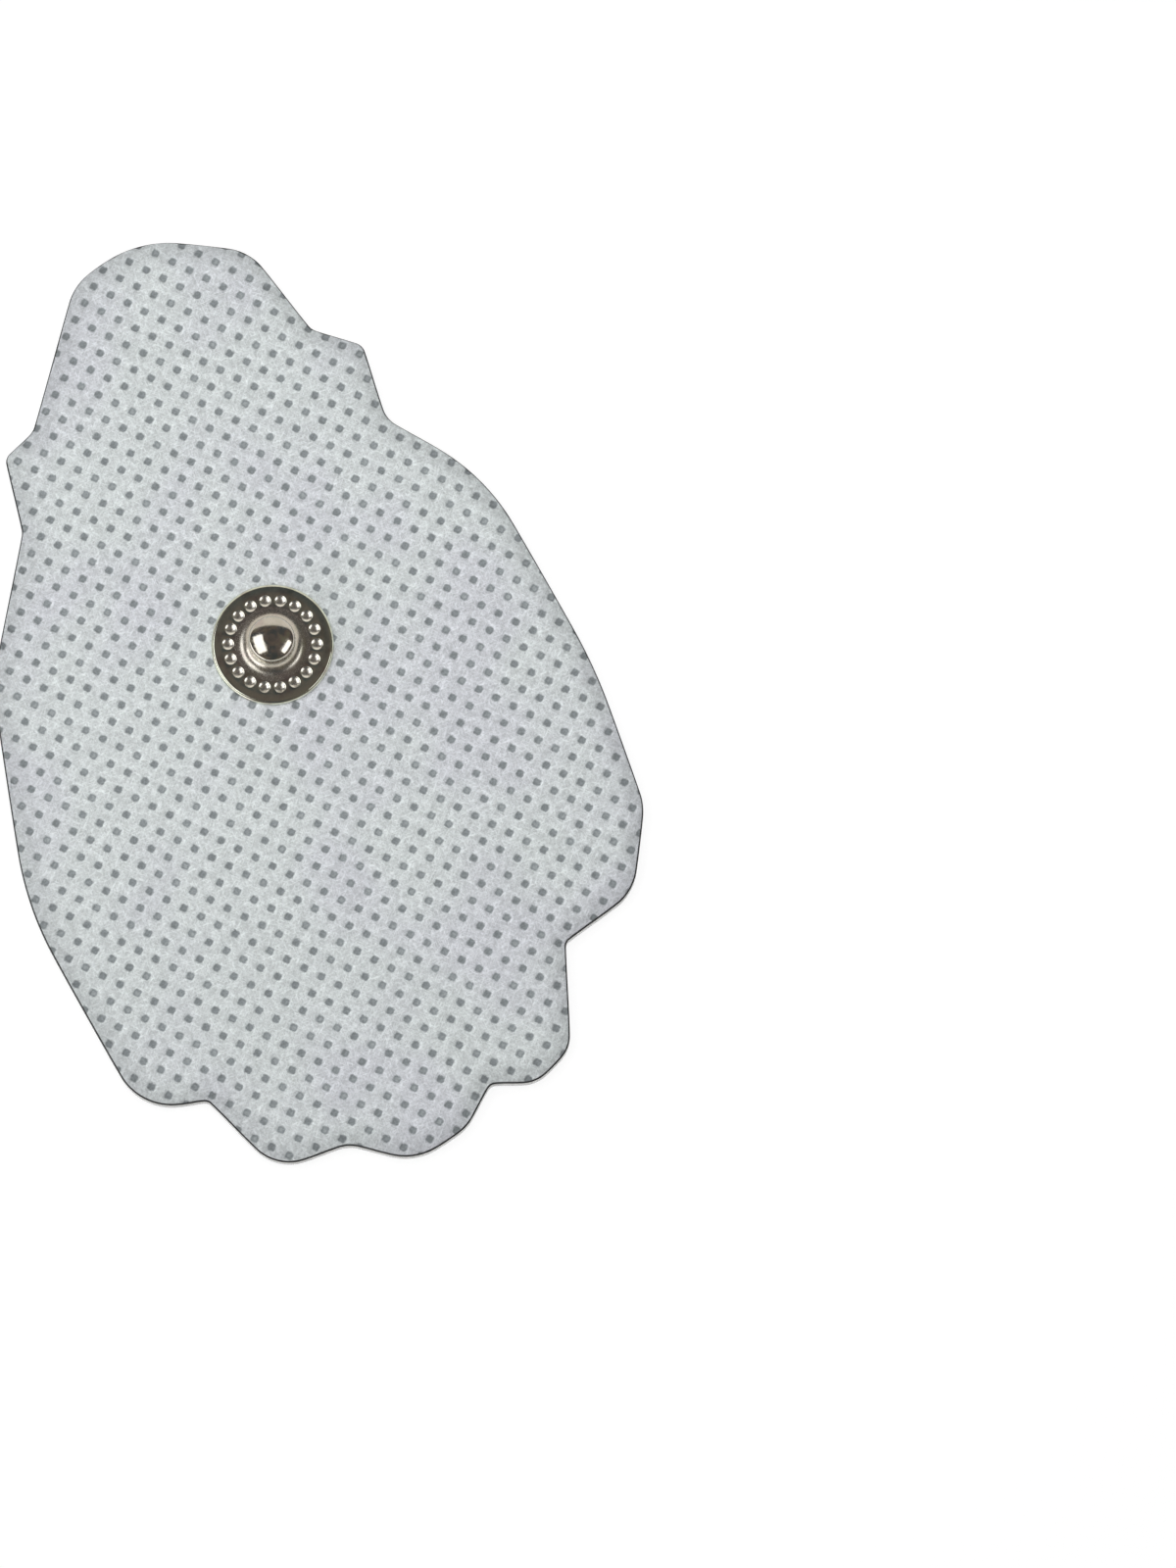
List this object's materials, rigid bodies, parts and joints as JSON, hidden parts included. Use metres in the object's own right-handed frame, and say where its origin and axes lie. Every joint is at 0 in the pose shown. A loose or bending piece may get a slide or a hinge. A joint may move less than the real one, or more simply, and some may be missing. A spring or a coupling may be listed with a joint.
{
  "type": "tens electrode pad",
  "caption": "Scalloped self-adhesive electrode pad with embossed nonwoven face, hydrogel underside and a snap stud, lying on its release liner.",
  "frame": {"origin": "on the axis of the snap, at the underside of the release liner", "axes": "+Z out of the fabric face along the snap's axis, +Y towards the narrow end of the pad, +X towards the thumb lobe"},
  "size_m": [0.0521, 0.0809, 0.0052],
  "materials": {
    "nonwoven": "white point-bonded nonwoven with small grey bond pits",
    "carbon_film": "matt black carbon-filled film",
    "hydrogel": "clear wet-looking conductive gel",
    "release_liner": "clear smooth film",
    "nickel_plate": "polished nickel plate with a warm grey cast",
    "eyelet_cover": "white self-adhesive patch"
  },
  "bodies": {
    "root": {"fabric_backing": "nonwoven", "carbon_film": "carbon_film", "hydrogel": "hydrogel", "release_liner": "release_liner", "snap_stud": "nickel_plate", "snap_eyelet": "nickel_plate", "eyelet_cover": "eyelet_cover"}
  },
  "joints": []
}
